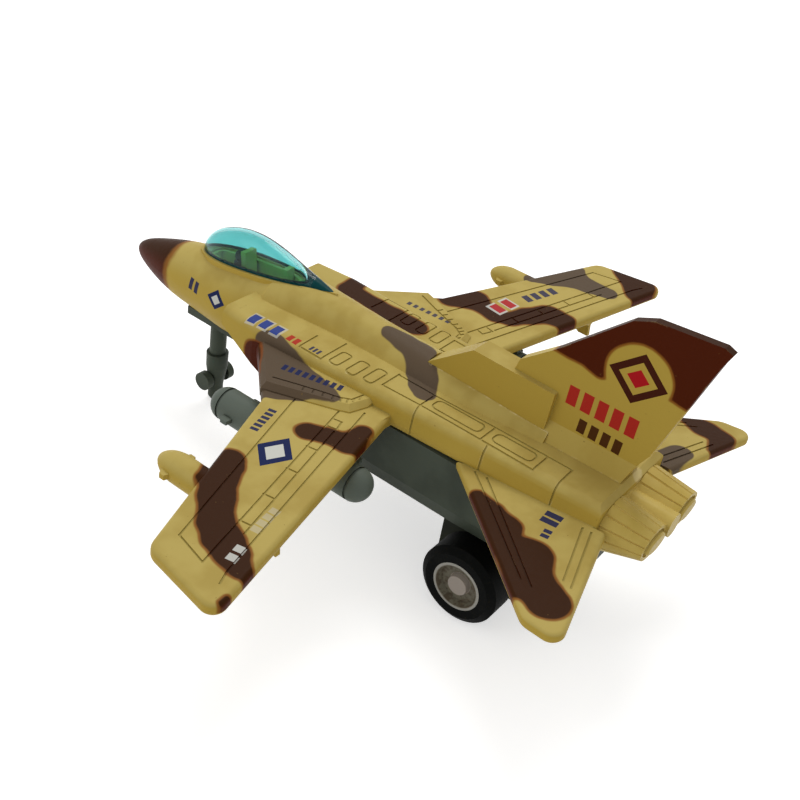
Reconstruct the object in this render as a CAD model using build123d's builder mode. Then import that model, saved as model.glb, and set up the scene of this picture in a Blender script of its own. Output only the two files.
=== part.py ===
"""Die-cast pull-back toy jet: metal upper body on a plastic belly with a spring motor.

Frame: +X is the port side, -Y the nose, +Z up; the ground is z = 0. Millimetres.
"""
from build123d import *
from math import atan2, cos, pi, radians, sin, tan
import os

os.makedirs("parts", exist_ok=True)

# ---- driving dimensions --------------------------------------------------------------
FIT = 0.05                 # radial clearance of a shaft in its hole
SEAT = 0.05                # gap where one moulding closes on another
AIR = 0.3                  # gap between parts that move past each other
GROOVE, GROOVE_DEPTH = 0.36, 0.25        # width and depth of the engraved panel lines

DECK_Z = 35.1              # flat top of the body
ROOF = 1.9                 # thickness of the casting's roof
SKIRT_Z = 29.0             # lower edge of the casting behind the wing
TRUNK_Z = 24.0             # lower edge of the casting at the intakes
TRUNK_Y = 2.0              # where the casting's lower edge starts to step up
STEP_RUN = 6.0             # length of that step
SKIRT_WALL = 1.6           # side wall of the casting
DECK_FRONT_Y = -28.6       # front of the intake shoulders
DECK_REAR_Y = 51.5         # rear face of the casting
SHOULDER_R = 2.0           # rounding along the deck's edges
REAR_BEVEL = 1.0           # bevel along the deck's rear edge
LIP_Z = 31.5               # intake's upper lip
RAKE_RUN = 15.0            # how far the intake's lower lip lies behind its upper lip
INTAKE_DEPTH = 3.0         # blind recess in the raked intake face
CAVITY_FRONT_Y = -12.6     # front of the hollow under the deck

WING_ROOT = (13.0, 32.0)   # x and z of the wing's upper face at the root
WING_DIHEDRAL = 1.6        # degrees
WING_THICK = 2.4
WING_EDGE_R = 0.9
GLOVE_RISE = 1.2           # step from the wing up to the glove
GLOVE_ROOT_X = 14.8        # inboard end of the glove's free edge
TAIL_THICK = 2.0
TAIL_ROOT = (12.0, 26.0, 30.1)
TAIL_TILT = (0.06, -0.06)  # fall outboard and rise aft of the tailplane's upper face

MISSILE_X, MISSILE_Z, MISSILE_R = 48.1, 30.2, 2.6
MISSILE_NOSE_Y, MISSILE_TAIL_Y = -8.2, 15.0

AXLE_Y, AXLE_Z, AXLE_R = 32.3, 7.8, 1.0
TYRE_R = 7.8
TREAD = (10.2, 15.2)       # inner and outer edge of the tread
TYRE_FACES = (9.5, 16.2)   # inner and outer sidewall
SIDEWALL_R = 6.5           # where tread shoulder meets sidewall
RIM_R, RIM_WALL = 4.8, 0.6
HUB_R = 2.1

CHASSIS_WALL = 1.4
BELLY_Z = 16.2             # lowest face of the belly
BAND_Z = 19.1              # top of the tapered band along the belly's sides
BAND_IN = 0.9              # how far the band tapers in
BELLY_HALFS = (11.6, 12.5, 11.6)         # half width at the front, amidships and at the rear
BELLY_FRONT_Y, BELLY_REAR_Y = -14.0, 51.2
RAMP_FRONT_Y, RAMP_REAR_Y = -4.0, 46.8   # ends of the flat belly
RAMP_RISE = 4.0
TONGUE_HALF, TONGUE_FRONT_Y = 4.6, -47.4
TONGUE_Z, TONGUE_THICK = 20.9, 1.7

LEG_Y, LEG_R, LEG_PEG_R = -42.6, 1.75, 1.3
POD_X, POD_Z, POD_R = 26.0, 26.0, 3.1
POD_DOMES = (-14.8, 14.7)  # centres of the front and rear domes
POD_PEG_YS = (-2.5, 6.0)
PEG_R, PEG_DEPTH = 0.8, 1.2

MOTOR_HALF = 7.4           # half width of the motor case
MOTOR_WALL = 1.1
MOTOR_YS = (22.6, 41.4)
MOTOR_ZS = (3.4, 26.0)
GEAR_MODULE = 0.4
PINION_TEETH, IDLER_TEETH, DRUM_TEETH = 10, 18, 28
IDLER_BEARING, DRUM_BEARING = 125.0, 50.0   # degrees above +Y from one shaft to the next
LOW_LAYER, HIGH_LAYER = (-3.5, -1.5), (-0.8, 1.2)   # x of the two gear layers
IDLER_SHAFT_R, ARBOR_R = 0.75, 1.2
SPRING_XS = (HIGH_LAYER[1] + 0.6, MOTOR_HALF - 2.2)
SPRING_WIRE, SPRING_TURNS = 0.22, 5
EAR_X = MOTOR_HALF + 1.7   # screws of the motor's ears
EAR_Y, EAR_R, EAR_Z, EAR_THICK = 32.0, 1.6, 20.6, 1.2
MOTOR_SCREW_R, MOTOR_HEAD_R = 0.6, 1.3

SCREW_YS = (-0.5, 17.6, 44.2)
SCREW_R, SCREW_HEAD_R, SCREW_HEAD = 0.9, 1.8, 1.1
SCREW_RECESS = 0.5
POST_R, POST_Z = 2.2, 22.0

FIN_PEG_YS = (39.0, 46.0)
DORSAL_HALF = 2.3
DORSAL_SEAT_Z = 36.6       # floor of the slot that takes the dorsal block
SPINE_REAR_Y = 35.6        # where the spine ends against the fin's foot

CANOPY_FRONT = (-47.6, 34.9)
CANOPY_REAR = (-14.1, 39.7)
CANOPY_WALL = 0.8
SILL = 0.5                 # width of the sill outside the canopy
COCKPIT_DEPTH = 5.4


def across(y):
    """Plane square to the length of the jet at y, with local x = X and local y = Z."""
    return Plane.XZ.offset(-y)


def side(x):
    """Plane along the jet at x, with local x = Y and local y = Z."""
    return Plane.YZ.offset(x)


def engraved(plane, runs, slots=()):
    """Narrow strips along runs of straight strokes, and outlines of rounded slots."""
    with BuildSketch(plane) as marks:
        for run in runs:
            for (x0, y0), (x1, y1) in zip(run, run[1:]):
                with Locations(((x0 + x1) / 2, (y0 + y1) / 2)):
                    length = ((x1 - x0) ** 2 + (y1 - y0) ** 2) ** 0.5
                    Rectangle(length + GROOVE, GROOVE, rotation=atan2(y1 - y0, x1 - x0) * 180 / pi)
        for x0, x1, y0, y1, corner in slots:
            with Locations(((x0 + x1) / 2, (y0 + y1) / 2)):
                RectangleRounded(x1 - x0 + GROOVE, y1 - y0 + GROOVE, corner + GROOVE / 2)
                RectangleRounded(
                    x1 - x0 - GROOVE, y1 - y0 - GROOVE, corner - GROOVE / 2, mode=Mode.SUBTRACT
                )
    return marks.sketch


# ---- wing, glove, missile and tailplane of the port side -------------------------------
wing_plane = Plane(
    origin=(WING_ROOT[0], 0, WING_ROOT[1]),
    x_dir=(cos(radians(WING_DIHEDRAL)), 0, sin(radians(WING_DIHEDRAL))),
    z_dir=(-sin(radians(WING_DIHEDRAL)), 0, cos(radians(WING_DIHEDRAL))),
)


def wing_points(*points):
    """Plan points as points of the wing's own plane."""
    return [(x - WING_ROOT[0], y) for x, y in points]


def wing_under(x):
    """Height of the wing's lower face at x."""
    rise = (x - WING_ROOT[0]) * tan(radians(WING_DIHEDRAL))
    return WING_ROOT[1] + rise - WING_THICK / cos(radians(WING_DIHEDRAL))


wing_tip_front, wing_tip_rear = (65.7, 8.2), (68.3, 24.1)
wing_outline = wing_points(
    (9.0, -19.2), (15.0, -18.8), (26.6, -6.6), wing_tip_front, wing_tip_rear, (13.0, 11.2), (9.0, 11.2),
)
with BuildPart() as wing:
    with BuildSketch(wing_plane):
        with BuildLine():
            Polyline(*wing_outline, close=True)
        make_face()
        tips = [Vector(*p) for p in wing_points(wing_tip_front, wing_tip_rear)]
        fillet(vertices().sort_by_distance(tips[0])[0], 3.2)
        fillet(vertices().sort_by_distance(tips[1])[0], 2.2)
    extrude(amount=-WING_THICK)
    for face in (faces().sort_by(Axis.Z)[-1], faces().sort_by(Axis.Z)[0]):
        fillet(face.edges().filter_by(lambda e: e.center().X > 15.5), WING_EDGE_R)
    # slat line along the leading edge and tip, two flap lines with rungs, a hatch
    slat_root, slat_tip, flap_tip = (22.6, -2.6), (60.9, 9.6), (62.4, 15.8)
    flap_front_root, flap_rear_root, flap_rear_tip = (19.3, 4.6), (24.5, 7.9), (53.9, 15.6)
    wing_runs = [
        wing_points(slat_root, slat_tip, flap_tip, flap_front_root),
        wing_points(flap_rear_root, flap_rear_tip),
        wing_points((16.4, 7.9), (61.2, 19.4), (63.6, 20.4)),
        wing_points((21.9, 5.4), (21.5, 7.0), (23.8, 7.8), (24.2, 5.9)),
    ]
    for share in (0.21, 0.44, 0.69, 0.93):
        rung_x = flap_rear_root[0] + share * (flap_rear_tip[0] - flap_rear_root[0])
        rung = [
            (rung_x + lean, near[1] + (rung_x - near[0]) * (far[1] - near[1]) / (far[0] - near[0]))
            for near, far, lean in ((flap_front_root, flap_tip, 0.4), (flap_rear_root, flap_rear_tip, 0))
        ]
        wing_runs.append(wing_points(*rung))
    extrude(engraved(wing_plane.offset(-GROOVE_DEPTH), wing_runs), amount=1.0, mode=Mode.SUBTRACT)

glove_outline = wing_points(
    (9.0, -19.4), (14.6, -19.0), (24.9, -8.6), (24.3, -6.8), (22.3, -2.1),
    (19.7, 4.0), (18.5, 6.2), (GLOVE_ROOT_X, 7.2), (9.0, 7.2),
)
with BuildPart() as glove:
    with BuildSketch(wing_plane.offset(-0.6 * WING_THICK)):
        with BuildLine():
            Polyline(*glove_outline, close=True)
        make_face()
    extrude(amount=0.6 * WING_THICK + GLOVE_RISE)
    rim = faces().sort_by(Axis.Z)[-1].edges().filter_by(lambda e: e.center().X > GLOVE_ROOT_X)
    chamfer(rim, 0.8 * GLOVE_RISE)
    # seam along the glove's edge, tied to that edge by short ticks
    seam = [(22.0, -8.4), (20.1, -3.8), (18.8, -0.4), (17.6, 3.0), (16.4, 4.8), (13.4, 5.3)]
    seam_runs = [wing_points(*seam)]
    for (x0, y0), (x1, y1) in zip(seam[1:5], seam[2:]):
        for share in (0.2, 0.7):
            x, y = x0 + share * (x1 - x0), y0 + share * (y1 - y0)
            seam_runs.append(wing_points((x, y), (x + 1.0, y + 0.5)))
    top_plane = wing_plane.offset(GLOVE_RISE - GROOVE_DEPTH)
    extrude(engraved(top_plane, seam_runs), amount=1.0, mode=Mode.SUBTRACT)

with BuildPart() as missile:
    with BuildSketch(side(MISSILE_X)):
        with BuildLine():
            Spline(
                (MISSILE_NOSE_Y, MISSILE_Z), (MISSILE_NOSE_Y + 0.5, MISSILE_Z + 1.1),
                (MISSILE_NOSE_Y + 4.2, MISSILE_Z + MISSILE_R),
                tangents=[(0, 1), (1, 0.12)],
            )
            Polyline(
                (MISSILE_NOSE_Y + 4.2, MISSILE_Z + MISSILE_R),
                (MISSILE_TAIL_Y, MISSILE_Z + MISSILE_R),
                (MISSILE_TAIL_Y + 2.4, MISSILE_Z + 0.6 * MISSILE_R),
                (MISSILE_TAIL_Y + 2.4, MISSILE_Z),
                (MISSILE_NOSE_Y, MISSILE_Z),
            )
        make_face()
    revolve(axis=Axis((MISSILE_X, 0, MISSILE_Z), (0, 1, 0)))
    with BuildSketch(side(MISSILE_X)):
        with BuildLine():
            Polyline(
                (MISSILE_TAIL_Y - 5.0, MISSILE_Z), (MISSILE_TAIL_Y + 0.4, MISSILE_Z - 3.9),
                (MISSILE_TAIL_Y + 2.6, MISSILE_Z - 3.9), (MISSILE_TAIL_Y + 2.2, MISSILE_Z),
                close=True,
            )
        make_face()
    extrude(amount=0.5, both=True)
    with BuildSketch(Plane.XY.offset(MISSILE_Z)):
        for way in (1, -1):
            with BuildLine():
                Polyline(
                    (MISSILE_X, MISSILE_NOSE_Y + 1.6), (MISSILE_X + way * 3.4, MISSILE_NOSE_Y + 3.4),
                    (MISSILE_X + way * 3.4, MISSILE_NOSE_Y + 4.4), (MISSILE_X, MISSILE_NOSE_Y + 5.6),
                    close=True,
                )
            make_face()
    extrude(amount=0.5, both=True)

tail_normal = Vector(TAIL_TILT[0], TAIL_TILT[1], 1).normalized()
tail_plane = Plane(origin=TAIL_ROOT, x_dir=(1, 0, -TAIL_TILT[0]), z_dir=tail_normal)
tail_tip_front, tail_tip_rear = (23.4, 26.9), (23.9, 33.8)
tail_root_front = (BELLY_HALFS[1] + SEAT - TAIL_ROOT[0], -0.8)
tail_root_rear = (BELLY_HALFS[2] + 2 * SEAT - TAIL_ROOT[0], 27.4)
# part of the root that lies in the side wall
tail_hold = [(tail_root_rear[0], 25.0), (-1.2, 25.0), (-0.9, 0.4), (tail_root_front[0], 0.4)]
with BuildPart() as tailplane:
    with BuildSketch(tail_plane):
        with BuildLine():
            Polyline(tail_root_front, tail_tip_front, tail_tip_rear, tail_root_rear, *tail_hold, close=True)
        make_face()
        fillet(vertices().sort_by_distance(Vector(*tail_tip_front))[0], 3.4)
        fillet(vertices().sort_by_distance(Vector(*tail_tip_rear))[0], 2.2)
    extrude(amount=-TAIL_THICK)
    for face in faces().filter_by(lambda f: abs(f.normal_at().Z) > 0.9):
        fillet(face.edges().filter_by(lambda e: e.center().X > 13.0), 0.7)
    # below the skirt the root stays clear of the belly's side
    with BuildSketch(Plane.XY.offset(SKIRT_Z)):
        with BuildLine():
            Polyline(
                (0, TAIL_ROOT[1] - 1), (BELLY_HALFS[1] + SEAT, TAIL_ROOT[1] - 1),
                (BELLY_HALFS[2] + 2 * SEAT, TAIL_ROOT[1] + tail_root_rear[1] + 1),
                (0, TAIL_ROOT[1] + tail_root_rear[1] + 1), close=True,
            )
        make_face()
    extrude(amount=-TAIL_THICK, mode=Mode.SUBTRACT)
    # double lines along the leading and trailing edges
    tail_runs = [
        [(x - TAIL_ROOT[0], y - TAIL_ROOT[1]) for x, y in run]
        for run in (
            ((12.9, 29.2), (28.9, 48.5)), ((12.9, 31.6), (29.2, 50.6)),
            ((12.9, 49.9), (24.9, 53.6)), ((12.9, 51.5), (25.5, 55.3)),
        )
    ]
    extrude(engraved(tail_plane.offset(-GROOVE_DEPTH), tail_runs), amount=1.0, mode=Mode.SUBTRACT)

# ---- upper body: one zinc casting --------------------------------------------------------
# nose and spine: y, half width, top and bottom of each oval section
nose_sections = (
    (-66.5, 0.6, 27.4, 26.2),
    (-65.2, 1.8, 28.7, 25.0),
    (-61.3, 3.5, 30.6, 23.4),
    (-56.5, 5.0, 32.3, 22.2),
    (-50.0, 6.2, 34.1, 21.2),
    (-42.0, 7.1, 35.8, 20.6),
    (-34.0, 7.8, 37.4, 20.3),
    (-26.0, 8.0, 38.9, 20.5),
)
spine_sections = (
    (-26.0, 8.0, 38.9, 20.5),
    (-16.0, 6.6, 39.5, 21.5),
    (-6.0, 5.8, 39.0, 22.5),
    (8.0, 6.0, 38.3, 24.0),
    (22.0, 5.9, 37.8, 25.0),
    (SPINE_REAR_Y, 4.4, 37.6, 26.0),
)
# deck: y, half width at the shoulder, half width at the skirt
step_rear_y = TRUNK_Y + STEP_RUN
trunk_sections = ((DECK_FRONT_Y, 14.2, 14.4), (-20.0, 15.0, 15.0), (step_rear_y, 13.4, 13.5))
deck_sections = ((step_rear_y, 13.4, 13.5), (27.0, 12.0, 12.9), (DECK_REAR_Y, 11.0, 12.0))


def deck_section(y, shoulder_half, skirt_half, bottom, skin=0):
    """Section of the deck: flat top, rounded shoulders, sides that lean out a little."""
    with BuildSketch(across(y)) as section:
        with BuildLine():
            Polyline(
                (skin - skirt_half, bottom), (skin - shoulder_half, DECK_Z - skin),
                (shoulder_half - skin, DECK_Z - skin), (skirt_half - skin, bottom), close=True,
            )
        make_face()
        fillet(vertices().group_by(Axis.Z)[-1], SHOULDER_R - skin)
    return section.sketch


def deck_shape(sections, bottom, skin=0):
    """Straight-sided loft of deck sections, thinner all round by the skin."""
    with BuildPart() as shape:
        loft([deck_section(y, a, b, bottom, skin) for y, a, b in sections], ruled=True)
    return shape.part


def hull(sections):
    """Loft of oval sections along the jet."""
    with BuildPart() as body:
        for y, half_width, top, bottom in sections:
            with BuildSketch(across(y)):
                with Locations((0, (top + bottom) / 2)):
                    Ellipse(half_width, (top - bottom) / 2)
        loft()
    return body.part


def profile(plane, *points):
    """Closed outline of straight sides on a plane."""
    with BuildSketch(plane) as shape:
        with BuildLine():
            Polyline(*points, close=True)
        make_face()
    return shape.sketch


# the deck's lines on the port side: a corner panel, a long panel in two bays, hinge lines
bay_x, bay_in_x = 10.7, 6.0
deck_runs = [
    [(8.0, -10.7), (13.0, -10.5), (13.0, -5.4), (5.9, -5.5)],
    [(6.1, 7.0), (bay_x + 0.3, 7.0), (bay_x, 15.1), (bay_x, 38.2), (bay_in_x, 38.2)],
    [(6.3, 7.4), (6.4, 15.1), (bay_in_x, 27.7), (bay_in_x, 42.9), (14.0, 43.1)],
    [(bay_in_x + 0.4, 15.1), (bay_x, 15.1), (16.0, 15.9)],
    [(bay_in_x, 27.7), (bay_x, 27.7)],
    [(bay_x, 29.4), (16.0, 29.6)],
]
deck_slots = [(8.2, 12.6, -4.1, -2.0, 0.7), (7.9, 12.6, -0.2, 1.9, 0.7), (7.4, 12.2, 3.4, 5.5, 0.7)]
deck_slots += [(6.9, 9.6, 16.5, 26.4, 1.0), (6.9, 9.6, 29.0, 36.9, 1.0)]
with BuildPart() as deck_engraving:
    extrude(engraved(Plane.XY.offset(DECK_Z + 1), deck_runs, deck_slots), amount=SKIRT_Z - DECK_Z - 2)
    add(deck_shape(trunk_sections, TRUNK_Z, GROOVE_DEPTH), mode=Mode.SUBTRACT)
    add(deck_shape(deck_sections, SKIRT_Z, GROOVE_DEPTH), mode=Mode.SUBTRACT)

with BuildPart() as trunk:
    add(deck_shape(trunk_sections, TRUNK_Z))
    rake_rear_y = DECK_FRONT_Y + RAKE_RUN
    extrude(
        profile(
            side(0), (DECK_FRONT_Y, LIP_Z), (rake_rear_y, TRUNK_Z),
            (DECK_FRONT_Y - 1, TRUNK_Z - 1), (DECK_FRONT_Y - 1, LIP_Z),
        ),
        amount=20, both=True, mode=Mode.SUBTRACT,
    )
    extrude(
        profile(
            side(0), (TRUNK_Y, TRUNK_Z), (step_rear_y, SKIRT_Z), (step_rear_y + 1, SKIRT_Z),
            (step_rear_y + 1, TRUNK_Z - 1), (TRUNK_Y, TRUNK_Z - 1),
        ),
        amount=20, both=True, mode=Mode.SUBTRACT,
    )
    # blind mouths in the raked faces, between the spine and the outer wall
    for inner_x in (8.6, -13.4):
        extrude(
            profile(
                side(inner_x), (DECK_FRONT_Y + 1.8, LIP_Z - 0.4),
                (DECK_FRONT_Y + 1.8 + INTAKE_DEPTH, LIP_Z - 0.4),
                (rake_rear_y - 3.0 + INTAKE_DEPTH, TRUNK_Z + 1.8),
                (rake_rear_y - 3.0, TRUNK_Z + 1.0), (DECK_FRONT_Y, TRUNK_Z + 1.0),
            ),
            amount=4.8, mode=Mode.SUBTRACT,
        )

# canopy outline on its sloping sill, used by the canopy, the cockpit and the casting
canopy_run = CANOPY_REAR[0] - CANOPY_FRONT[0]
canopy_slope = atan2(CANOPY_REAR[1] - CANOPY_FRONT[1], canopy_run)
canopy_long = canopy_run / cos(canopy_slope)
canopy_plane = Plane(
    origin=(0, CANOPY_FRONT[0], CANOPY_FRONT[1]),
    x_dir=(1, 0, 0),
    z_dir=(0, -sin(canopy_slope), cos(canopy_slope)),
)
# distance along the sill, half width at the sill, height above it
canopy_sections = (
    (1.4, 1.7, 2.4),
    (3.8, 2.9, 4.5),
    (8.0, 3.8, 6.1),
    (13.4, 4.0, 6.6),
    (18.8, 3.7, 5.6),
    (23.6, 3.0, 3.8),
    (28.6, 1.8, 1.9),
)


def canopy_outline(grow):
    """Outline of the canopy on its sill, grown all round."""
    halves = [(half + grow, along) for along, half, _ in canopy_sections]
    with BuildSketch(canopy_plane) as outline:
        with BuildLine():
            Spline((0, -grow), *halves, (0, canopy_long + 2 * grow), tangents=[(1, 0), (-0.3, 1)])
            mirror(about=Plane.YZ)
        make_face()
    return outline.sketch


def well_outline(shrink, depth):
    """Outline of the cockpit well at a depth below the sill, clear of the canopy's wall."""
    inset = CANOPY_WALL + 0.3 + shrink
    halves = [(half - inset, along) for along, half, _ in canopy_sections[1:-1]]
    first, last = canopy_sections[1], canopy_sections[-2]
    halves.insert(0, (0.6 * halves[0][0], first[0] - 0.8 + shrink))
    halves.append((0.6 * halves[-1][0], last[0] + 2.4 - shrink))
    return profile(canopy_plane.offset(-depth), *halves, *[(-x, along) for x, along in halves[::-1]])


with BuildPart() as upper_body:
    add(hull(nose_sections))
    add(hull(spine_sections))
    add(trunk.part)
    add(deck_shape(deck_sections, SKIRT_Z))
    extrude(
        profile(
            side(0), (DECK_REAR_Y - REAR_BEVEL, DECK_Z), (DECK_REAR_Y, DECK_Z - REAR_BEVEL),
            (DECK_REAR_Y + 1, DECK_Z), (DECK_REAR_Y + 1, DECK_Z + 1), (DECK_REAR_Y - REAR_BEVEL, DECK_Z + 1),
        ),
        amount=20, both=True, mode=Mode.SUBTRACT,
    )
    add(deck_engraving.part, mode=Mode.SUBTRACT)
    add(deck_engraving.part.mirror(Plane.YZ), mode=Mode.SUBTRACT)
    extrude(canopy_outline(SILL), amount=3.0, mode=Mode.SUBTRACT)
    extrude(canopy_outline(SILL), amount=-4.0)
    # room for the belly behind the intakes, the hollow under the deck, open below and behind,
    # and the long slot under the nose for the belly's tongue
    with BuildSketch(Plane.XY.offset(TRUNK_Z)):
        with Locations((0, BELLY_FRONT_Y - SEAT)):
            Rectangle(40, 80, align=(Align.CENTER, Align.MIN))
    extrude(amount=-10, mode=Mode.SUBTRACT)
    inner_plan = [(half - SKIRT_WALL, y) for y, half, _ in deck_sections]
    inner_plan.insert(0, (inner_plan[0][0], CAVITY_FRONT_Y))
    extrude(
        profile(Plane.XY.offset(TRUNK_Z - 10), *inner_plan, *[(-x, y) for x, y in inner_plan[::-1]]),
        amount=DECK_Z - ROOF - TRUNK_Z + 10, mode=Mode.SUBTRACT,
    )
    with BuildSketch(Plane.XY.offset(TONGUE_Z - 3)):
        with Locations((0, TONGUE_FRONT_Y)):
            Rectangle(
                2 * TONGUE_HALF, CAVITY_FRONT_Y + 1 - TONGUE_FRONT_Y, align=(Align.CENTER, Align.MIN)
            )
    extrude(amount=3 + TONGUE_THICK + SEAT, mode=Mode.SUBTRACT)
    with BuildSketch(Plane.XY.offset(TONGUE_Z)):
        with Locations((0, TONGUE_FRONT_Y + 2)):
            Rectangle(
                2 * TONGUE_HALF - 2, CAVITY_FRONT_Y - 1 - TONGUE_FRONT_Y, align=(Align.CENTER, Align.MIN)
            )
    extrude(amount=7.0, mode=Mode.SUBTRACT)
    # cockpit well
    extrude(well_outline(0, COCKPIT_DEPTH), amount=COCKPIT_DEPTH, mode=Mode.SUBTRACT)
    # posts for the three body screws
    for y in SCREW_YS:
        with BuildSketch(Plane.XY.offset(POST_Z)):
            with Locations((0, y)):
                Circle(POST_R)
        extrude(amount=DECK_Z - ROOF - POST_Z + 0.5)
        with BuildSketch(Plane.XY.offset(POST_Z)):
            with Locations((0, y)):
                Circle(SCREW_R)
        extrude(amount=8.0, mode=Mode.SUBTRACT)
    # slot for the dorsal block and holes for the fin's pegs
    with BuildSketch(Plane.XY.offset(DORSAL_SEAT_Z)):
        with Locations((0, 10.0)):
            Rectangle(2 * DORSAL_HALF + 2 * SEAT, 30, align=(Align.CENTER, Align.MIN))
    extrude(amount=4.0, mode=Mode.SUBTRACT)
    for y in FIN_PEG_YS:
        with BuildSketch(Plane.XY.offset(DECK_Z - ROOF - 1)):
            with Locations((0, y)):
                Circle(PEG_R + FIT)
        extrude(amount=ROOF + 2, mode=Mode.SUBTRACT)
    add(wing.part)
    add(glove.part)
    add(missile.part)
    add(tailplane.part)
    for part in (wing.part, glove.part, missile.part, tailplane.part):
        add(part.mirror(Plane.YZ))
    # blind holes under the wings for the pod pylons
    for x in (POD_X, -POD_X):
        for y in POD_PEG_YS:
            with BuildSketch(Plane.XY.offset(DECK_Z - 8)):
                with Locations((x, y)):
                    Circle(PEG_R + FIT)
            extrude(amount=wing_under(POD_X) + PEG_DEPTH + SEAT - DECK_Z + 8, mode=Mode.SUBTRACT)

# ---- nozzle block: two petalled exhausts and a central tube on a plug ---------------------
NOZZLE_FRONT_Y, NOZZLE_END_Y, STUB_END_Y = DECK_REAR_Y + SEAT, 59.4, 60.0
nozzle_front = (5.9, 29.4, 5.4, 4.8)    # centre x, centre z, half width, half height
nozzle_rear = (5.9, 30.2, 4.4, 2.8)
PETALS = 14
PETAL_GAP = 0.1            # share of a petal's width taken by the groove beside it
PETAL_GROOVE = 0.4         # depth of that groove
MOUTH_WALL, MOUTH_DEPTH, STUB_GAP = 0.7, 1.4, 0.5
TUBE_R, TUBE_Z = 2.2, 30.6


def around(oval, way, angle, inset=0):
    """Point of an oval at an angle, on the port or starboard side."""
    centre_x, centre_z, half_width, half_height = oval
    x = centre_x + (half_width - inset) * cos(angle)
    return way * x, centre_z + (half_height - inset) * sin(angle)


def petalled(y, oval, way):
    """Section of a nozzle: an oval of shallow arcs with a notch between each two."""
    pitch = 2 * pi / PETALS
    with BuildSketch(across(y)) as section:
        with BuildLine():
            for step in range(PETALS):
                first, last = (step + PETAL_GAP) * pitch, (step + 1 - PETAL_GAP) * pitch
                ThreePointArc(
                    around(oval, way, first), around(oval, way, (first + last) / 2), around(oval, way, last)
                )
                Polyline(
                    around(oval, way, last), around(oval, way, (step + 1) * pitch, PETAL_GROOVE),
                    around(oval, way, last + 2 * PETAL_GAP * pitch),
                )
        make_face()
    return section.sketch


def nozzle(way):
    """Petalled cone with a shallow mouth and a stub standing in it."""
    with BuildPart() as shape:
        ends = ((NOZZLE_FRONT_Y, nozzle_front), (NOZZLE_END_Y, nozzle_rear))
        loft([petalled(y, oval, way) for y, oval in ends], ruled=True)
        for inset, depth, reach, mode in (
            (MOUTH_WALL, MOUTH_DEPTH, 0, Mode.SUBTRACT),
            (MOUTH_WALL + STUB_GAP, MOUTH_DEPTH, STUB_END_Y - NOZZLE_END_Y, Mode.ADD),
        ):
            with BuildSketch(across(NOZZLE_END_Y - depth)):
                with Locations((way * nozzle_rear[0], nozzle_rear[1])):
                    Ellipse(nozzle_rear[2] - inset, nozzle_rear[3] - inset)
            extrude(amount=-(depth + reach), mode=mode)
        chamfer(edges().sort_by(Axis.Y)[-1], 0.3)
    return shape.part


with BuildPart() as nozzle_block:
    for way in (1, -1):
        add(nozzle(way))
    with BuildSketch(across(NOZZLE_FRONT_Y)):
        with Locations((0, TUBE_Z)):
            Circle(TUBE_R)
    extrude(amount=-(STUB_END_Y - NOZZLE_FRONT_Y))
    # plug that slides into the open rear of the casting
    with BuildSketch(across(DECK_REAR_Y - 3.0)):
        with Locations((0, SKIRT_Z + SEAT)):
            Rectangle(
                2 * (deck_sections[-1][1] - SKIRT_WALL - SEAT), DECK_Z - ROOF - SKIRT_Z - 2 * SEAT,
                align=(Align.CENTER, Align.MIN),
            )
    extrude(amount=-(3.0 + SEAT))

# ---- tail fin with its foot and the dorsal block ------------------------------------------
fin_foot = ((3.1, DECK_Z), (1.3, 38.5), (0.8, 64.8))   # half width and height, from the deck up
with BuildPart() as tail_fin:
    extrude(
        profile(
            side(0), (26.0, 43.6), (26.8, 46.5), (32.5, 51.3), (43.4, 62.0), (46.8, 63.5),
            (58.0, 64.4), (59.5, 63.8), (58.6, 61.5), (52.9, 41.5), (51.0, 37.9), (50.2, DECK_Z + SEAT),
            (SPINE_REAR_Y + SEAT, DECK_Z + SEAT), (SPINE_REAR_Y + SEAT, DORSAL_SEAT_Z + SEAT),
            (SPINE_REAR_Y - 1.5, DORSAL_SEAT_Z + SEAT), (SPINE_REAR_Y - 1.5, 43.6),
        ),
        amount=4, both=True,
    )
    extrude(
        profile(across(20), *[(x, z) for x, z in fin_foot], *[(-x, z) for x, z in fin_foot[::-1]]),
        amount=-50, mode=Mode.INTERSECT,
    )
    extrude(
        profile(
            side(0), (10.0 + SEAT, DORSAL_SEAT_Z + SEAT), (10.0 + SEAT, 37.8), (18.5, 44.5), (34.9, 44.1),
            (34.6, DORSAL_SEAT_Z + SEAT),
        ),
        amount=DORSAL_HALF, both=True,
    )
    for y in FIN_PEG_YS:
        with BuildSketch(Plane.XY.offset(DECK_Z - ROOF)):
            with Locations((0, y)):
                Circle(PEG_R)
        extrude(amount=ROOF + 1)

# ---- canopy: thin tinted shell with a solid tail -------------------------------------------


def bubble_section(along, half, height):
    """Oval across the canopy, centred on the sill."""
    at = canopy_plane.from_local_coords(Vector(0, along, 0))
    with BuildSketch(Plane(origin=at, x_dir=(1, 0, 0), z_dir=-canopy_plane.y_dir)) as oval:
        Ellipse(half, height)
    return oval.sketch


def bubble(shrink, sections, end):
    """Canopy-shaped solid above and below the sill, to be cut at the sill."""
    start_at, end_at = (canopy_plane.from_local_coords(Vector(0, v, 0)) for v in (shrink, end))
    ovals = [bubble_section(along, half - shrink, height - shrink) for along, half, height in sections]
    with BuildPart() as shape:
        loft([Vertex(*start_at), *ovals, Vertex(*end_at)])
    return shape.part


with BuildPart() as canopy:
    add(bubble(0, canopy_sections, canopy_long))
    add(bubble(CANOPY_WALL, canopy_sections[:-1], 27.5), mode=Mode.SUBTRACT)
    split(bisect_by=canopy_plane.offset(SEAT), keep=Keep.TOP)

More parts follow.
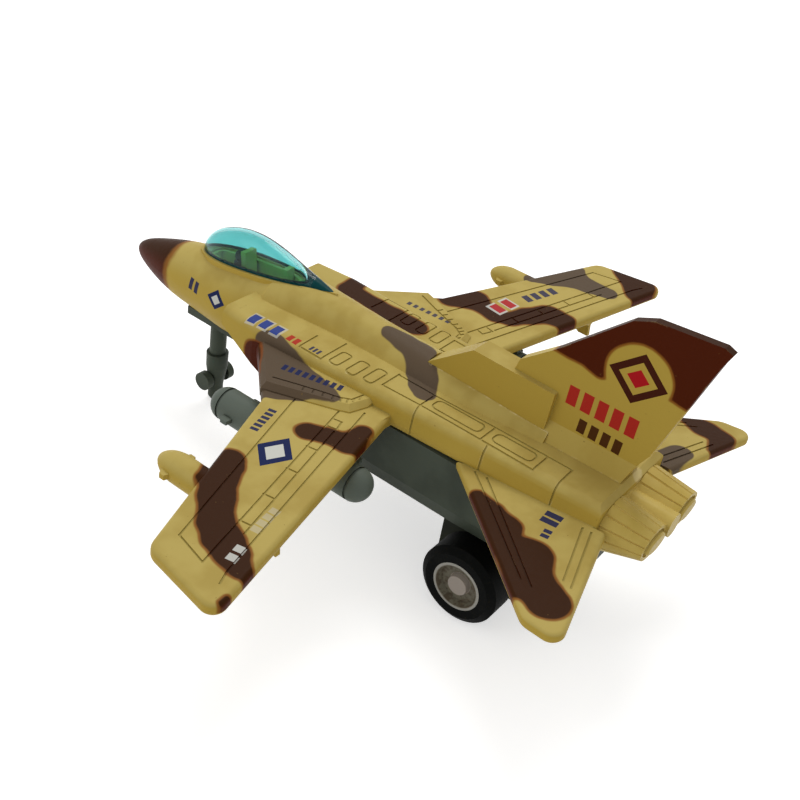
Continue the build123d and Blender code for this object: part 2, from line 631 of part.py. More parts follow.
# ---- cockpit tub and pilot -----------------------------------------------------------------
TUB_WALL, TUB_FLOOR = 0.7, 1.2
FRONT_SEAT, REAR_SEAT = (12.2, 2.4), (22.6, 1.6)   # distance along the sill and height above it
with BuildPart() as cockpit_tub:
    extrude(well_outline(2 * SEAT, COCKPIT_DEPTH - SEAT), amount=COCKPIT_DEPTH - 0.4)
    hollow = well_outline(2 * SEAT + TUB_WALL, COCKPIT_DEPTH - TUB_FLOOR)
    extrude(hollow, amount=COCKPIT_DEPTH, mode=Mode.SUBTRACT)
    for (along, height), width in ((FRONT_SEAT, 3.0), (REAR_SEAT, 2.2)):
        with BuildSketch(canopy_plane.offset(-COCKPIT_DEPTH + TUB_FLOOR - 0.2)):
            with Locations((0, along)):
                Rectangle(width, 1.2)
        extrude(amount=COCKPIT_DEPTH - TUB_FLOOR + 0.2 + height)

with BuildPart() as pilot:
    with BuildSketch(canopy_plane.offset(-COCKPIT_DEPTH + TUB_FLOOR + SEAT)):
        with Locations((0, FRONT_SEAT[0] - 0.6 - SEAT)):
            Rectangle(2.8, 2.0, align=(Align.CENTER, Align.MAX))
    extrude(amount=4.2)
    fillet(edges().group_by(Axis.Z)[-1], 0.6)
    head_at = canopy_plane.from_local_coords(Vector(0, FRONT_SEAT[0] - 2.0, 0.7))
    with Locations(head_at):
        Sphere(1.25)

# ---- belly moulding -------------------------------------------------------------------------
belly_sections = (
    (BELLY_FRONT_Y, BELLY_HALFS[0]), (step_rear_y, BELLY_HALFS[1]), (27.0, BELLY_HALFS[1]),
    (BELLY_REAR_Y, BELLY_HALFS[2]),
)


def belly_shape(inset, low):
    """Belly between its top edge and a lower face: sides with a tapered band, ramps at both ends."""
    with BuildPart() as shape:
        loft(
            [
                profile(
                    across(y), (half - inset, SKIRT_Z), (half - inset, BAND_Z), (half - inset - BAND_IN, low),
                    (-half + inset + BAND_IN, low), (-half + inset, BAND_Z), (-half + inset, SKIRT_Z),
                )
                for y, half in belly_sections
            ],
            ruled=True,
        )
        rise = low + RAMP_RISE
        extrude(
            profile(
                side(0), (BELLY_FRONT_Y + inset, rise), (RAMP_FRONT_Y, low), (RAMP_REAR_Y, low),
                (BELLY_REAR_Y - inset, rise), (BELLY_REAR_Y - inset, SKIRT_Z + inset - SEAT),
                (step_rear_y, SKIRT_Z + inset - SEAT), (TRUNK_Y, TRUNK_Z + inset - SEAT),
                (BELLY_FRONT_Y + inset, TRUNK_Z + inset - SEAT),
            ),
            amount=20, both=True, mode=Mode.INTERSECT,
        )
    return shape.part


with BuildPart() as chassis:
    add(belly_shape(0, BELLY_Z))
    add(belly_shape(CHASSIS_WALL, BELLY_Z + CHASSIS_WALL), mode=Mode.SUBTRACT)
    with BuildSketch(Plane.XY.offset(TONGUE_Z)):
        with Locations((0, TONGUE_FRONT_Y + SEAT)):
            Rectangle(
                2 * (TONGUE_HALF - SEAT), BELLY_FRONT_Y + 1 - TONGUE_FRONT_Y, align=(Align.CENTER, Align.MIN)
            )
    extrude(amount=TONGUE_THICK)
    # window for the motor and the bosses that carry it
    with BuildSketch(Plane.XY.offset(BELLY_Z)):
        with Locations((0, (MOTOR_YS[0] + MOTOR_YS[1]) / 2)):
            Rectangle(2 * (MOTOR_HALF + SEAT), MOTOR_YS[1] - MOTOR_YS[0] + 2 * SEAT)
    extrude(amount=CHASSIS_WALL, mode=Mode.SUBTRACT)
    for x in (EAR_X, -EAR_X):
        with BuildSketch(Plane.XY.offset(BELLY_Z + CHASSIS_WALL)):
            with Locations((x, EAR_Y)):
                Circle(EAR_R)
                Circle(MOTOR_SCREW_R, mode=Mode.SUBTRACT)
        extrude(amount=EAR_Z - BELLY_Z - CHASSIS_WALL)
    # screw posts
    for y in SCREW_YS:
        for radius, low, high, mode in (
            (POST_R, BELLY_Z, POST_Z - SEAT, Mode.ADD),
            (SCREW_R + 3 * FIT, BELLY_Z, POST_Z, Mode.SUBTRACT),
            (SCREW_HEAD_R + 3 * FIT, BELLY_Z, BELLY_Z + SCREW_RECESS + SCREW_HEAD, Mode.SUBTRACT),
        ):
            with BuildSketch(Plane.XY.offset(low)):
                with Locations((0, y)):
                    Circle(radius)
            extrude(amount=high - low, mode=mode)
    with BuildSketch(Plane.XY.offset(TONGUE_Z)):
        with Locations((0, LEG_Y)):
            Circle(LEG_PEG_R)
    extrude(amount=TONGUE_THICK, mode=Mode.SUBTRACT)

# ---- nose gear: one moulding with fixed wheels ------------------------------------------------
COLLAR_Z, YOKE_Z = 11.8, 8.6
SMALL_WHEEL = (3.0, 5.5, 2.0, 1.6)   # x, z, radius, width
FOOT_R = 1.6
with BuildPart() as nose_gear:
    with BuildSketch(Plane.XZ.offset(-LEG_Y)):
        with BuildLine():
            Polyline(
                (0, 0), (FOOT_R - 0.5, 0), (FOOT_R, 0.8), (FOOT_R, 4.0), (2.3, YOKE_Z), (2.35, COLLAR_Z),
                (LEG_R, COLLAR_Z), (LEG_R, TONGUE_Z - SEAT), (LEG_PEG_R, TONGUE_Z - SEAT),
                (LEG_PEG_R, TONGUE_Z + TONGUE_THICK + SEAT), (LEG_R, TONGUE_Z + TONGUE_THICK + SEAT),
                (LEG_R - 0.4, TONGUE_Z + TONGUE_THICK + 1.0), (0, TONGUE_Z + TONGUE_THICK + 1.2), close=True,
            )
        make_face()
    revolve(axis=Axis((0, LEG_Y, 0), (0, 0, 1)))
    for way in (1, -1):
        with BuildSketch(side(way * (SMALL_WHEEL[0] - SMALL_WHEEL[3] / 2))):
            with Locations((LEG_Y - 0.4, SMALL_WHEEL[1])):
                Circle(SMALL_WHEEL[2])
        extrude(amount=way * SMALL_WHEEL[3])
        with BuildSketch(side(0)):
            with Locations((LEG_Y - 0.4, SMALL_WHEEL[1])):
                Circle(1.1)
        extrude(amount=way * SMALL_WHEEL[0])

# ---- pods ----------------------------------------------------------------------------------------


def pod(way):
    """Under-wing tank: round body with ring grooves, side fins, a pylon and two pegs."""
    x = way * POD_X
    with BuildPart() as tank:
        with BuildSketch(side(x)):
            with BuildLine():
                Line((POD_DOMES[0] - POD_R, POD_Z), (POD_DOMES[1] + POD_R, POD_Z))
                RadiusArc((POD_DOMES[1] + POD_R, POD_Z), (POD_DOMES[1], POD_Z + POD_R), -POD_R)
                Line((POD_DOMES[1], POD_Z + POD_R), (POD_DOMES[0], POD_Z + POD_R))
                RadiusArc((POD_DOMES[0], POD_Z + POD_R), (POD_DOMES[0] - POD_R, POD_Z), -POD_R)
            make_face()
            for y in POD_DOMES:
                with Locations((y, POD_Z + POD_R)):
                    Rectangle(0.5, 0.5, mode=Mode.SUBTRACT)
        revolve(axis=Axis((x, 0, POD_Z), (0, 1, 0)))
        extrude(
            profile(
                side(x), (-7.0, POD_Z), (-5.4, wing_under(POD_X) - 0.12),
                (13.4, wing_under(POD_X) - 0.12), (13.6, POD_Z),
            ),
            amount=0.7, both=True,
        )
        extrude(
            profile(
                Plane.XY.offset(POD_Z), (x, -14.0), (x + 4.4, -12.4), (x + 4.4, -11.0), (x, -10.6),
                (x - 4.4, -11.0), (x - 4.4, -12.4),
            ),
            amount=0.4, both=True,
        )
        extrude(
            profile(
                Plane.XY.offset(POD_Z), (x, 2.0), (x + 5.6, 8.4), (x + 5.6, 11.6), (x, 12.6),
                (x - 5.6, 11.6), (x - 5.6, 8.4),
            ),
            amount=0.5, both=True,
        )
        for y in POD_PEG_YS:
            with BuildSketch(Plane.XY.offset(POD_Z)):
                with Locations((x, y)):
                    Circle(PEG_R)
            extrude(amount=wing_under(POD_X) + PEG_DEPTH - POD_Z)
    return tank.part


# ---- motor: gears, spring and split case ------------------------------------------------------------


def next_shaft(y, z, teeth, bearing):
    """Centre of a shaft whose gear meshes with one at (y, z), with that many teeth between them."""
    apart = GEAR_MODULE * teeth / 2
    return y + apart * cos(radians(bearing)), z + apart * sin(radians(bearing))


idler_y, idler_z = next_shaft(AXLE_Y, AXLE_Z, PINION_TEETH + IDLER_TEETH, IDLER_BEARING)
drum_y, drum_z = next_shaft(idler_y, idler_z, PINION_TEETH + DRUM_TEETH, DRUM_BEARING)


def gear_face(centre, teeth, first_angle, bore):
    """Spur gear outline with thin straight-flanked teeth; first_angle points at one tooth."""
    pitch_r = GEAR_MODULE * teeth / 2
    root_r = pitch_r - 1.2 * GEAR_MODULE
    tip_r = pitch_r + 0.9 * GEAR_MODULE
    tooth = GEAR_MODULE * pi
    with BuildSketch(Plane.YZ) as outline:
        with Locations(centre):
            Circle(root_r)
            with PolarLocations(0, teeth, start_angle=first_angle):
                Polygon(
                    (root_r - 0.2, -0.27 * tooth), (root_r, -0.27 * tooth), (tip_r, -0.12 * tooth),
                    (tip_r, 0.12 * tooth), (root_r, 0.27 * tooth), (root_r - 0.2, 0.27 * tooth), align=None,
                )
            if bore:
                Circle(bore, mode=Mode.SUBTRACT)
    return outline.sketch


def gear(centre, teeth, first_angle, bore, layer, hub_r, hub_xs):
    """Gear in one layer of the motor with a hub on its shaft."""
    face = gear_face(centre, teeth, first_angle, bore)
    with BuildPart() as wheel:
        extrude(face.moved(Location((layer[0], 0, 0))), amount=layer[1] - layer[0])
        with BuildSketch(side(hub_xs[0])):
            with Locations(centre):
                Circle(hub_r)
                if bore:
                    Circle(bore, mode=Mode.SUBTRACT)
        extrude(amount=hub_xs[1] - hub_xs[0])
    return wheel.part


def rod(centre, radius, x_from, x_to):
    """Round bar across the motor."""
    with BuildPart() as bar:
        with BuildSketch(side(x_from)):
            with Locations(centre):
                Circle(radius)
        extrude(amount=x_to - x_from)
    return bar.part


axle_at, idler_at, drum_at = (AXLE_Y, AXLE_Z), (idler_y, idler_z), (drum_y, drum_z)
inner_half = MOTOR_HALF - MOTOR_WALL
AXLE_END = TREAD[1] - 0.3

with BuildPart() as rear_axle:
    add(rod(axle_at, AXLE_R, -AXLE_END, AXLE_END))
    chamfer(edges(), 0.2)

with BuildPart() as axle_pinion:
    hub = (-inner_half + AIR, LOW_LAYER[1])
    add(gear(axle_at, PINION_TEETH, IDLER_BEARING, AXLE_R, LOW_LAYER, 1.5, hub))

with BuildPart() as idler_shaft:
    add(rod(idler_at, IDLER_SHAFT_R, -MOTOR_HALF, MOTOR_HALF))

idler_bore = IDLER_SHAFT_R + FIT
with BuildPart() as idler_gear:
    meshing_angle = IDLER_BEARING + 180 + 180 / IDLER_TEETH
    hubs = (-inner_half + AIR, HIGH_LAYER[0]), (LOW_LAYER[1], inner_half - AIR)
    add(gear(idler_at, IDLER_TEETH, meshing_angle, idler_bore, LOW_LAYER, 1.3, hubs[0]))
    add(gear(idler_at, PINION_TEETH, DRUM_BEARING, idler_bore, HIGH_LAYER, 1.3, hubs[1]))

with BuildPart() as spring_gear:
    meshing_angle = DRUM_BEARING + 180 + 180 / DRUM_TEETH
    hub = (-inner_half + AIR, SPRING_XS[0] - AIR)
    add(gear(drum_at, DRUM_TEETH, meshing_angle, 0, HIGH_LAYER, 1.8, hub))
    add(rod(drum_at, ARBOR_R, -MOTOR_HALF, MOTOR_HALF))

SPRING_OUTER_R = 5.2
spring_start_r = ARBOR_R + FIT + SPRING_WIRE
half_turns = 2 * SPRING_TURNS


def spring_point(step, offset):
    """End of a half turn of the spring, on the line through the arbor, shifted outwards."""
    radius = spring_start_r + step / half_turns * (SPRING_OUTER_R - spring_start_r) + offset
    return drum_y + (-1) ** step * radius, drum_z


with BuildPart() as mainspring:
    with BuildSketch(side(SPRING_XS[0])):
        with BuildLine():
            for offset in (-SPRING_WIRE / 2, SPRING_WIRE / 2):
                for step in range(half_turns):
                    start, end = spring_point(step, offset), spring_point(step + 1, offset)
                    crown = ((start[0] + end[0]) / 2, drum_z + (start[0] - end[0]) / 2)
                    ThreePointArc(start, crown, end)
            for step in (0, half_turns):
                Line(spring_point(step, -SPRING_WIRE / 2), spring_point(step, SPRING_WIRE / 2))
        make_face()
    extrude(amount=SPRING_XS[1] - SPRING_XS[0])

ANCHOR_R = 0.5


def case_half(way):
    """Half of the motor case: a tray with shaft holes and a screw ear."""
    middle = ((MOTOR_YS[0] + MOTOR_YS[1]) / 2, (MOTOR_ZS[0] + MOTOR_ZS[1]) / 2)
    long, high = MOTOR_YS[1] - MOTOR_YS[0], MOTOR_ZS[1] - MOTOR_ZS[0]
    with BuildPart() as tray:
        with BuildSketch(side(0)):
            with Locations(middle):
                RectangleRounded(long, high, 2.4)
        extrude(amount=way * MOTOR_HALF)
        with BuildSketch(side(0)):
            with Locations(middle):
                RectangleRounded(long - 2 * MOTOR_WALL, high - 2 * MOTOR_WALL, 2.4 - MOTOR_WALL)
        extrude(amount=way * inner_half, mode=Mode.SUBTRACT)
        for centre, radius in (
            (axle_at, AXLE_R + FIT), (idler_at, IDLER_SHAFT_R), (drum_at, ARBOR_R + FIT),
        ):
            with BuildSketch(side(0)):
                with Locations(centre):
                    Circle(radius)
            extrude(amount=way * MOTOR_HALF, mode=Mode.SUBTRACT)
        if way > 0:
            with BuildSketch(side(SPRING_XS[0])):
                with Locations((drum_y + SPRING_OUTER_R + SPRING_WIRE / 2 + ANCHOR_R, drum_z)):
                    Circle(ANCHOR_R)
            extrude(amount=inner_half - SPRING_XS[0])
        with BuildSketch(Plane.XY.offset(EAR_Z + SEAT)):
            with Locations((way * (MOTOR_HALF - 0.2), EAR_Y)):
                Rectangle(
                    EAR_X + EAR_R - MOTOR_HALF + 0.2, 3.4,
                    align=(Align.MIN if way > 0 else Align.MAX, Align.CENTER),
                )
            with Locations((way * EAR_X, EAR_Y)):
                Circle(MOTOR_SCREW_R + FIT, mode=Mode.SUBTRACT)
        extrude(amount=EAR_THICK)
    return tray.part


# ---- rear wheels ---------------------------------------------------------------------------------


def rim(way):
    """Rim with a barrel, a deep dished web and a hub boss pressed on the axle."""
    outer_x = TYRE_FACES[1] - 0.1
    with BuildPart() as wheel:
        with BuildSketch(Plane.XY.offset(AXLE_Z)):
            with BuildLine():
                Polyline(
                    (way * TYRE_FACES[0], AXLE_Y), (way * TYRE_FACES[0], AXLE_Y + HUB_R),
                    (way * (TREAD[1] - 1.8), AXLE_Y + HUB_R),
                    (way * (TREAD[1] - 1.8), AXLE_Y + RIM_R - RIM_WALL),
                    (way * (TYRE_FACES[0] + 0.2), AXLE_Y + RIM_R - RIM_WALL),
                    (way * (TYRE_FACES[0] + 0.2), AXLE_Y + RIM_R), (way * outer_x, AXLE_Y + RIM_R),
                    (way * (outer_x + 0.1), AXLE_Y + RIM_R - 0.2), (way * outer_x, AXLE_Y + RIM_R - RIM_WALL),
                    (way * (TREAD[1] - 0.5), AXLE_Y + RIM_R - RIM_WALL - 0.4),
                    (way * (TREAD[1] - 0.5), AXLE_Y + HUB_R),
                    (way * (outer_x - 0.3), AXLE_Y + HUB_R - 0.2), (way * (outer_x - 0.3), AXLE_Y), close=True,
                )
            make_face()
        revolve(axis=Axis((0, AXLE_Y, AXLE_Z), (1, 0, 0)))
        with BuildSketch(side(0)):
            with Locations(axle_at):
                Circle(AXLE_R)
        extrude(amount=way * AXLE_END, mode=Mode.SUBTRACT)
    return wheel.part


def tyre(way):
    """Black tyre with a flat tread and chamfered shoulders."""
    with BuildPart() as ring:
        with BuildSketch(Plane.XY.offset(AXLE_Z)):
            with BuildLine():
                Polyline(
                    (way * (TYRE_FACES[0] + 0.2), AXLE_Y + RIM_R), (way * TYRE_FACES[0], AXLE_Y + SIDEWALL_R),
                    (way * TREAD[0], AXLE_Y + TYRE_R), (way * TREAD[1], AXLE_Y + TYRE_R),
                    (way * TYRE_FACES[1], AXLE_Y + SIDEWALL_R), (way * (TYRE_FACES[1] - 0.1), AXLE_Y + RIM_R),
                    close=True,
                )
            make_face()
        revolve(axis=Axis((0, AXLE_Y, AXLE_Z), (1, 0, 0)))
    return ring.part


# ---- screws --------------------------------------------------------------------------------------


def screw(x, y, head_z, head_r, head_high, shank_r, shank_high):
    """Screw standing on its head; a negative shank points down."""
    with BuildPart() as pin:
        for radius, low, high in ((head_r, head_z, head_z + head_high), (shank_r, head_z, head_z + shank_high)):
            with BuildSketch(Plane.XY.offset(low)):
                with Locations((x, y)):
                    Circle(radius)
            extrude(amount=high - low)
    return pin.part


with BuildPart() as chassis_screws:
    for y in SCREW_YS:
        add(screw(0, y, BELLY_Z + SCREW_RECESS, SCREW_HEAD_R, SCREW_HEAD, SCREW_R, 12.0))

with BuildPart() as motor_screws:
    for x in (EAR_X, -EAR_X):
        head_low = EAR_Z + SEAT + EAR_THICK
        add(screw(x, EAR_Y, head_low, MOTOR_HEAD_R, 0.8, MOTOR_SCREW_R, -4.0))

# ---- files: every piece moved so that the origin lies under the middle of the toy ------------------
pieces = {
    "upper_body": upper_body.part,
    "nozzle_block": nozzle_block.part,
    "tail_fin": tail_fin.part,
    "canopy": canopy.part,
    "cockpit_tub": cockpit_tub.part,
    "pilot": pilot.part,
    "chassis": chassis.part,
    "nose_gear": nose_gear.part,
    "port_pod": pod(1),
    "starboard_pod": pod(-1),
    "motor_case_port": case_half(1),
    "motor_case_starboard": case_half(-1),
    "mainspring": mainspring.part,
    "spring_gear": spring_gear.part,
    "idler_gear": idler_gear.part,
    "idler_shaft": idler_shaft.part,
    "axle_pinion": axle_pinion.part,
    "rear_axle": rear_axle.part,
    "port_rim": rim(1),
    "starboard_rim": rim(-1),
    "port_tyre": tyre(1),
    "starboard_tyre": tyre(-1),
    "chassis_screws": chassis_screws.part,
    "motor_screws": motor_screws.part,
}
box = Compound(children=[shape.moved(Location()) for shape in pieces.values()]).bounding_box()
shift = Location((0, -box.center().Y, -box.min.Z))
for label, shape in pieces.items():
    placed = shape.moved(shift)
    placed.label = label
    export_step(placed, f"parts/{label}.step")
    print(label, round(placed.volume, 1), len(placed.solids()), placed.is_valid)
for name, (y, z) in {"axle": axle_at, "idler": idler_at, "drum": drum_at}.items():
    print(name, round(y - box.center().Y, 4), round(z - box.min.Z, 4))
print(box.min, box.max)
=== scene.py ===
import math

import bpy
from mathutils import Matrix, Vector

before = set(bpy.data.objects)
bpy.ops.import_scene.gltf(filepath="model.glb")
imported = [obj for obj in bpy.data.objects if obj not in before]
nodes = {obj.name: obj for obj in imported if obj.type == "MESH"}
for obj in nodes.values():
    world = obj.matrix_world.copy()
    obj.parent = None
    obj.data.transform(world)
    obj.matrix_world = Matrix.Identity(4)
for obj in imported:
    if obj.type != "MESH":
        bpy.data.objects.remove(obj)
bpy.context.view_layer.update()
print("frame loaded:", len(nodes), "nodes")


# shader maths

class Wire:
    # an output socket that can stand in sums, with numbers or other wires beside it
    def __init__(self, graph, socket):
        self.graph = graph
        self.socket = socket
        self.parts = None

    def maths(self, operation, *others):
        return self.graph.add("ShaderNodeMath", {"operation": operation}, [self, *others])

    def __add__(self, other):
        return self.maths("ADD", other)

    def __radd__(self, other):
        return self.maths("ADD", other)

    def __sub__(self, other):
        return self.maths("SUBTRACT", other)

    def __rsub__(self, other):
        return self.maths("MULTIPLY_ADD", -1.0, other)

    def __mul__(self, other):
        return self.maths("MULTIPLY", other)

    def __rmul__(self, other):
        return self.maths("MULTIPLY", other)

    def __lt__(self, other):
        return self.maths("LESS_THAN", other)

    def __gt__(self, other):
        return self.maths("GREATER_THAN", other)

    def __abs__(self):
        return self.maths("ABSOLUTE")

    def least(self, other):
        return self.maths("MINIMUM", other)

    def most(self, other):
        return self.maths("MAXIMUM", other)

    def within(self, low, high):
        # 1 between low and high, else 0
        return (self > low) * (self < high)

    def ramp(self, low, high):
        # 0 at low, 1 at high, smooth between; low may be the larger of the two
        settings = {"interpolation_type": "SMOOTHSTEP"}
        values = {"Value": self, "From Min": low, "From Max": high}
        return self.graph.add("ShaderNodeMapRange", settings, values)

    def part(self, axis):
        # X, Y or Z of a vector; one node serves all three
        if self.parts is None:
            self.parts = self.graph.tree.nodes.new("ShaderNodeSeparateXYZ")
            self.graph.tree.links.new(self.socket, self.parts.inputs[0])
        return Wire(self.graph, self.parts.outputs[axis])


class Graph:
    # the nodes of a material or of the world, emptied first
    def __init__(self, owner):
        owner.use_nodes = True
        self.owner = owner
        self.tree = owner.node_tree
        self.tree.nodes.clear()

    def add(self, kind, settings, values=(), output=0):
        # a node of any kind: settings first, then the values or wires of its sockets
        node = self.tree.nodes.new(kind)
        for name, value in settings.items():
            setattr(node, name, value)
        pairs = values.items() if isinstance(values, dict) else enumerate(values)
        for key, value in pairs:
            if isinstance(value, Wire):
                self.tree.links.new(value.socket, node.inputs[key])
            else:
                node.inputs[key].default_value = value
        return None if output is None else Wire(self, node.outputs[output])

    def finish(self, shader, kind="ShaderNodeOutputMaterial"):
        self.add(kind, {}, {"Surface": shader}, output=None)
        return self.owner


class Paint(Graph):
    # a material with the object's coordinates in millimetres
    def __init__(self, name):
        super().__init__(bpy.data.materials.new(name))
        place = self.add("ShaderNodeTexCoord", {}, output="Object")
        self.mm = self.add("ShaderNodeVectorMath", {"operation": "SCALE"}, {"Vector": place, "Scale": 1000.0})
        self.x = self.mm.part("X")
        self.y = self.mm.part("Y")
        self.z = self.mm.part("Z")

    def vector(self, operation, first, second, output=0):
        return self.add("ShaderNodeVectorMath", {"operation": operation}, [first, second], output)

    def away(self, where, place):
        # distance from a place
        return self.vector("DISTANCE", where, place, output="Value")

    def plan(self, across, along):
        # flat coordinates; the third part is 1, so that a dot product can carry an offset
        return self.add("ShaderNodeCombineXYZ", {}, [across, along, 1.0])

    def ruler(self, where, start, turn, unit):
        # distance from start in the direction turn, in units
        across = math.cos(turn) / unit
        along = math.sin(turn) / unit
        offset = -(start[0] * across + start[1] * along)
        return self.vector("DOT_PRODUCT", where, (across, along, offset), output="Value")

    def mix(self, first, second, share, blend="MIX"):
        settings = {"data_type": "RGBA", "clamp_factor": True, "blend_type": blend}
        return self.add("ShaderNodeMix", settings, {0: share, 6: first, 7: second}, output=2)

    def noise(self, scale, detail=2.0, roughness=0.5):
        values = {"Vector": self.mm, "Scale": scale, "Detail": detail, "Roughness": roughness}
        return self.add("ShaderNodeTexNoise", {}, values)

    def facing(self, axis):
        # one part of the surface's direction, -1 to 1
        return self.add("ShaderNodeNewGeometry", {}, output="Normal").part(axis)

    def hollow(self, reach, inside=False):
        # 0 on open faces, towards 1 in grooves and corners; inside finds outer edges instead
        settings = {"samples": 6, "only_local": True, "inside": inside}
        return 1.0 - self.add("ShaderNodeAmbientOcclusion", settings, {"Distance": reach / 1000.0}, "AO")

    def bump(self, height, depth):
        # depth in millimetres for a height of 1
        return self.add("ShaderNodeBump", {}, {"Height": height, "Distance": depth / 1000.0})

    def skin(self, colour, roughness, **more):
        # the surface shader; a socket's name is written with _ for its spaces
        named = {"Base_Color": colour, "Roughness": roughness, **more}
        values = {name.replace("_", " "): value for name, value in named.items()}
        return self.add("ShaderNodeBsdfPrincipled", {}, values)

    def grainy(self, colour, roughness, spread, grain, depth, gloss):
        # a rough skin: the grain adds up to spread to the roughness, and depth millimetres of bump
        return self.finish(self.skin(
            colour, roughness + grain * spread, Normal=self.bump(grain, depth), Specular_IOR_Level=gloss,
        ))


def rgb(red, green, blue):
    # a screen colour, 0 to 255, as linear light
    parts = [v / 255.0 for v in (red, green, blue)]
    return tuple(v / 12.92 if v <= 0.04045 else ((v + 0.055) / 1.055) ** 2.4 for v in parts) + (1.0,)


# sprayed camouflage with painted shading on upright faces, printed marks, and wear with painted highlights on
# the casting

print("camouflage")
camouflage = {
    "sand": rgb(188, 167, 93),
    "sandCloud": rgb(176, 153, 80),
    "sandSidePaintedShading": rgb(185, 157, 68),       # painted shading: the sand of upright faces, set by how light falls on them
    "sandGroove": rgb(172, 158, 88),
    "brown": rgb(56, 29, 8),
    # painted shading: the brown of upright faces, set by how light falls on them
    "brownSidePaintedShading": rgb(76, 26, 4),
    "brownRim": rgb(128, 66, 18),        # thin rusty rim round the brown
    "rimShare": 0.85,                    # how strong it is
    "taupe": rgb(93, 78, 62),
    "softEdge": 0.16,                    # half width of a sprayed edge, mm
    "waver": 0.3,                        # how far an edge wanders, mm
    "join": 1.2,                         # how far two strokes of one patch melt together, mm
    # a face's direction, upwards 1 to downwards -1, where the painted side shading and the bare underside set
    # in
    "upright": (0.75, 0.1),
    "under": (-0.15, -0.45),
    "far": 30.0,                         # a distance past any edge, mm
    "noseEdge": -50.4,                   # where the brown nose cone ends, along, mm
    "noseSlope": 0.35,                   # below 1, that edge is wider than a patch's
    # each patch is a chain of circles (x, y, radius) seen from above, joined by their hull, mm
    "brownAbove": [
        [(59.9, 25.9, 1.2), (59.6, 23.6, 1.7), (58.3, 20.6, 2.6), (57.0, 17.6, 2.9), (55.1, 14.4, 2.7),
         (50.9, 10.2, 2.7), (47.4, 7.2, 3.0), (44.6, 5.6, 3.0), (43.2, 5.0, 2.6)],
        [(64.9, 26.4, 0.55), (66.0, 26.3, 0.4)],
        [(48.7, 4.9, 0.5), (49.2, 4.6, 0.4)],
        [(20.7, 14.3, 1.5), (25.2, 15.0, 2.6), (26.2, 11.4, 2.0), (27.9, 8.3, 2.2)],
        [(-8.8, 2.4, 2.5), (-9.0, -3.0, 2.4), (-9.3, -8.0, 2.1), (-9.8, -14.6, 2.2), (-14.2, -15.4, 1.8)],
        [(-38.2, 18.6, 2.9), (-37.9, 15.4, 3.2), (-34.5, 13.0, 2.7), (-30.2, 10.8, 2.2), (-28.9, 8.4, 1.9),
         (-29.6, 4.6, 2.0), (-30.4, 1.6, 3.6), (-27.4, -1.6, 2.8)],
        [(-60.4, 24.6, 3.0), (-64.0, 22.5, 3.6), (-66.7, 18.5, 3.0), (-67.0, 15.4, 1.4)],
        [(17.9, 36.4, 1.5), (19.6, 39.8, 2.4), (21.6, 43.4, 3.2), (24.0, 45.4, 2.4), (24.4, 49.8, 4.1),
         (28.0, 53.0, 3.2), (30.3, 57.4, 3.4)],
        [(24.6, 45.2, 1.2), (31.0, 53.0, 1.6)],
        [(-23.8, 59.4, 1.0), (-29.0, 58.8, 2.3), (-29.8, 55.0, 2.7), (-30.6, 52.0, 2.0)],
    ],
    # one more is on the port side wall (y, z, radius)
    "brownBeside": [[(-15.4, 29.4, 3.2), (-12.6, 29.4, 3.2), (-9.0, 30.4, 1.8)]],
    "taupeAbove": [
        [(18.3, 5.7, 1.2), (18.3, 4.0, 1.75), (18.5, 2.0, 2.6), (19.3, -1.2, 4.3), (20.5, -6.0, 6.5),
         (17.4, -12.4, 4.5)],
        [(0.9, 3.2, 1.5), (0.8, 7.0, 2.1), (1.2, 10.8, 2.7), (3.6, 13.0, 2.3), (5.8, 15.2, 2.5),
         (7.4, 16.8, 2.1)],
        [(-55.5, 19.4, 2.3), (-54.9, 15.0, 2.9), (-54.8, 11.4, 3.6), (-51.0, 8.0, 2.8), (-48.0, 5.0, 1.7)],
        [(-54.8, 11.4, 3.6), (-59.0, 9.6, 2.0)],
        [(-14.0, 54.6, 2.8), (-18.2, 55.4, 2.4)],
    ],
}


def chainField(paint, where, chains, join):
    # distance to the nearest patch edge, below zero inside; a stroke is the hull of two circles: its
    # distance is the length to the nearest point of its middle line, less the radius there
    union = None
    for chain in chains:
        for (x0, y0, r0), (x1, y1, r1) in zip(chain, chain[1:]):
            length = math.hypot(x1 - x0, y1 - y0)
            turn = math.atan2(y1 - y0, x1 - x0)
            share = paint.ruler(where, (x0, y0), turn, length).most(0.0).least(1.0)
            step = {0: (x1 - x0, y1 - y0, 0.0), "Scale": share}
            foot = paint.add("ShaderNodeVectorMath", {"operation": "SCALE"}, step)
            fromStart = paint.vector("SUBTRACT", where, (x0, y0, 1.0))
            distance = paint.away(fromStart, foot) - share.maths("MULTIPLY_ADD", r1 - r0, r0)
            union = distance if union is None else union.maths("SMOOTH_MIN", distance, join)
    return union


def sprayed(paint, brownField, taupeField, upright, groove):
    # sand paint with sprayed patches and painted shading on upright faces; the brown ones end in the rusty
    # rim
    look = camouflage
    soft = look["softEdge"]
    cloud = paint.noise(0.11, 3.0, 0.55)
    sand = paint.mix(look["sandCloud"], look["sand"], cloud.ramp(0.36, 0.6))
    # painted shading: upright faces take their own sand
    sand = paint.mix(sand, look["sandSidePaintedShading"], upright)
    colour = paint.mix(sand, look["sandGroove"], groove)
    wander = (paint.noise(0.22, 2.0) - 0.5) * (2.0 * look["waver"])
    if taupeField is not None:
        colour = paint.mix(colour, look["taupe"], (taupeField + wander).ramp(soft, -soft))
    brownField = brownField + wander
    colour = paint.mix(colour, look["brownRim"], brownField.ramp(soft * 3.6, soft) * look["rimShare"])
    # painted shading: upright faces take their own brown
    brown = paint.mix(look["brown"], look["brownSidePaintedShading"], upright)
    return paint.mix(colour, brown, brownField.ramp(soft, -soft * 1.3))


inks = {
    "navy": rgb(26, 36, 80),
    "blue": rgb(34, 60, 138),
    "red": rgb(176, 24, 32),
    "white": rgb(206, 206, 198),
    "darkBrown": rgb(66, 26, 12),
}
